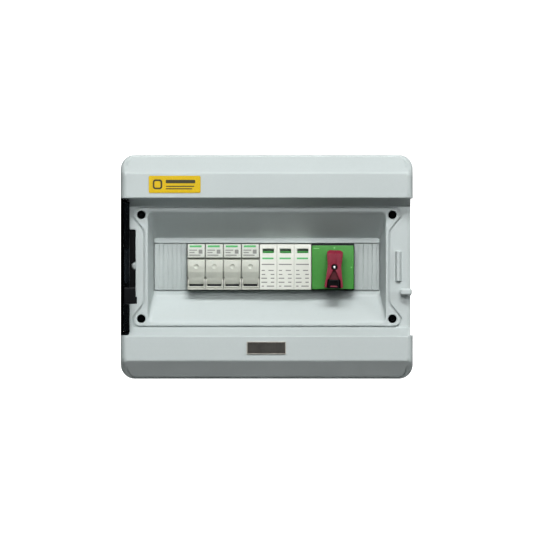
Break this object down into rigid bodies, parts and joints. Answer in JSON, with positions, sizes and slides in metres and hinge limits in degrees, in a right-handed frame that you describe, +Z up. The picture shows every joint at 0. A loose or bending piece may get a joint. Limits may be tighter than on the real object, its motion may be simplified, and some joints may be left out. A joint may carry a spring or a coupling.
{
  "type": "dc combiner box",
  "caption": "Wall-mounted plastic enclosure with a hinged clear door, swing-out fuse holders, plug-in surge protector and rotary isolator on a DIN rail.",
  "frame": {"origin": "centre of the flat back face, which rests on the wall", "axes": "+X to the viewer's right, +Z up, and the front faces -Y"},
  "size_m": [0.292, 0.4007, 0.224],
  "materials": {
    "shell": "satin moulded light grey",
    "gasket": "matt black sponge rubber",
    "clear_door": "clear polycarbonate",
    "black_nylon": "semi-gloss black",
    "steel": "zinc plated",
    "rail_zinc": "zinc plated, satin",
    "label_yellow": "printed film",
    "plate_grey": "dark metallic foil",
    "device": "satin off-white",
    "cartridge_white": "satin white",
    "fuse_ceramic": "ceramic tube with plated caps",
    "copper": "copper",
    "brass": "plain brass",
    "switch_dark": "satin dark grey",
    "switch_green": "satin green",
    "handle_red": "satin dark red",
    "wire_red": "red insulation",
    "wire_black": "black insulation",
    "wire_earth": "green and yellow insulation"
  },
  "bodies": {
    "enclosure": {"rear_base": "shell", "base_gasket": "gasket", "front_cover": "shell", "cover_screw_1": "steel", "cover_screw_2": "steel", "cover_screw_3": "steel", "cover_screw_4": "steel", "caution_label": "label_yellow", "name_plate": "plate_grey", "blank_plate_left": "shell", "blank_plate_right": "shell", "hinge_base": "black_nylon", "hinge_pin": "steel", "din_rail": "rail_zinc", "rail_screw_left": "steel", "rail_screw_right": "steel", "spd_base": "device", "switch_body": "switch_dark", "switch_face": "switch_green", "busbar_positive": "copper", "busbar_negative": "copper", "wire_positive": "wire_red", "wire_negative": "wire_black", "wire_spd_positive": "wire_red", "wire_spd_negative": "wire_black", "wire_earth": "wire_earth", "earth_bar": "brass", "fuse_body_1": "device", "fuse_clip_top_1": "copper", "fuse_clip_bottom_1": "copper", "fuse_body_2": "device", "fuse_clip_top_2": "copper", "fuse_clip_bottom_2": "copper", "fuse_body_3": "device", "fuse_clip_top_3": "copper", "fuse_clip_bottom_3": "copper", "fuse_body_4": "device", "fuse_clip_top_4": "copper", "fuse_clip_bottom_4": "copper"},
    "door": {"door_panel": "clear_door", "door_knuckle": "black_nylon"},
    "door_latch": {"door_latch": "black_nylon"},
    "fuse_drawer_1": {"fuse_carrier_1": "device", "fuse_link_1": "fuse_ceramic"},
    "fuse_drawer_2": {"fuse_carrier_2": "device", "fuse_link_2": "fuse_ceramic"},
    "fuse_drawer_3": {"fuse_carrier_3": "device", "fuse_link_3": "fuse_ceramic"},
    "fuse_drawer_4": {"fuse_carrier_4": "device", "fuse_link_4": "fuse_ceramic"},
    "surge_cartridge_1": {"spd_module_1": "cartridge_white", "spd_flag_1": "switch_green"},
    "surge_cartridge_2": {"spd_module_2": "cartridge_white", "spd_flag_2": "switch_green"},
    "surge_cartridge_3": {"spd_module_3": "cartridge_white", "spd_flag_3": "switch_green"},
    "isolator_handle": {"switch_shaft": "switch_dark", "switch_handle": "handle_red", "handle_screw": "steel"},
    "padlock_tab": {"handle_lock": "switch_dark"}
  },
  "joints": [
    {"name": "door_hinge", "type": "hinge", "parent": "enclosure", "child": "door", "pos_m": [-0.1415, -0.1095, 0], "axis": [0, 0, -1], "range_deg": [-89.6, 80.4]},
    {"name": "latch_slide", "type": "slide", "parent": "door", "child": "door_latch", "axis": [0, 0, 1], "range_m": [0, 0.0065]},
    {"name": "fuse_pivot_1", "type": "hinge", "parent": "enclosure", "child": "fuse_drawer_1", "pos_m": [-0.07066, -0.077, -0.0155], "axis": [1, 0, 0], "range_deg": [0, 74]},
    {"name": "fuse_pivot_2", "type": "hinge", "parent": "enclosure", "child": "fuse_drawer_2", "pos_m": [-0.05258, -0.077, -0.0155], "axis": [1, 0, 0], "range_deg": [0, 74]},
    {"name": "fuse_pivot_3", "type": "hinge", "parent": "enclosure", "child": "fuse_drawer_3", "pos_m": [-0.0345, -0.077, -0.0155], "axis": [1, 0, 0], "range_deg": [0, 74]},
    {"name": "fuse_pivot_4", "type": "hinge", "parent": "enclosure", "child": "fuse_drawer_4", "pos_m": [-0.01642, -0.077, -0.0155], "axis": [1, 0, 0], "range_deg": [0, 74]},
    {"name": "cartridge_slide_1", "type": "slide", "parent": "enclosure", "child": "surge_cartridge_1", "axis": [0, -1, 0], "range_m": [0, 0.03]},
    {"name": "cartridge_slide_2", "type": "slide", "parent": "enclosure", "child": "surge_cartridge_2", "axis": [0, -1, 0], "range_m": [0, 0.03]},
    {"name": "cartridge_slide_3", "type": "slide", "parent": "enclosure", "child": "surge_cartridge_3", "axis": [0, -1, 0], "range_m": [0, 0.03]},
    {"name": "isolator_turn", "type": "hinge", "parent": "enclosure", "child": "isolator_handle", "pos_m": [0.0677, -0.09, -0.0004], "axis": [0, -1, 0], "range_deg": [0, 90]},
    {"name": "padlock_tab_slide", "type": "slide", "parent": "isolator_handle", "child": "padlock_tab", "axis": [0, 0, -1], "range_m": [0, 0.005]}
  ]
}
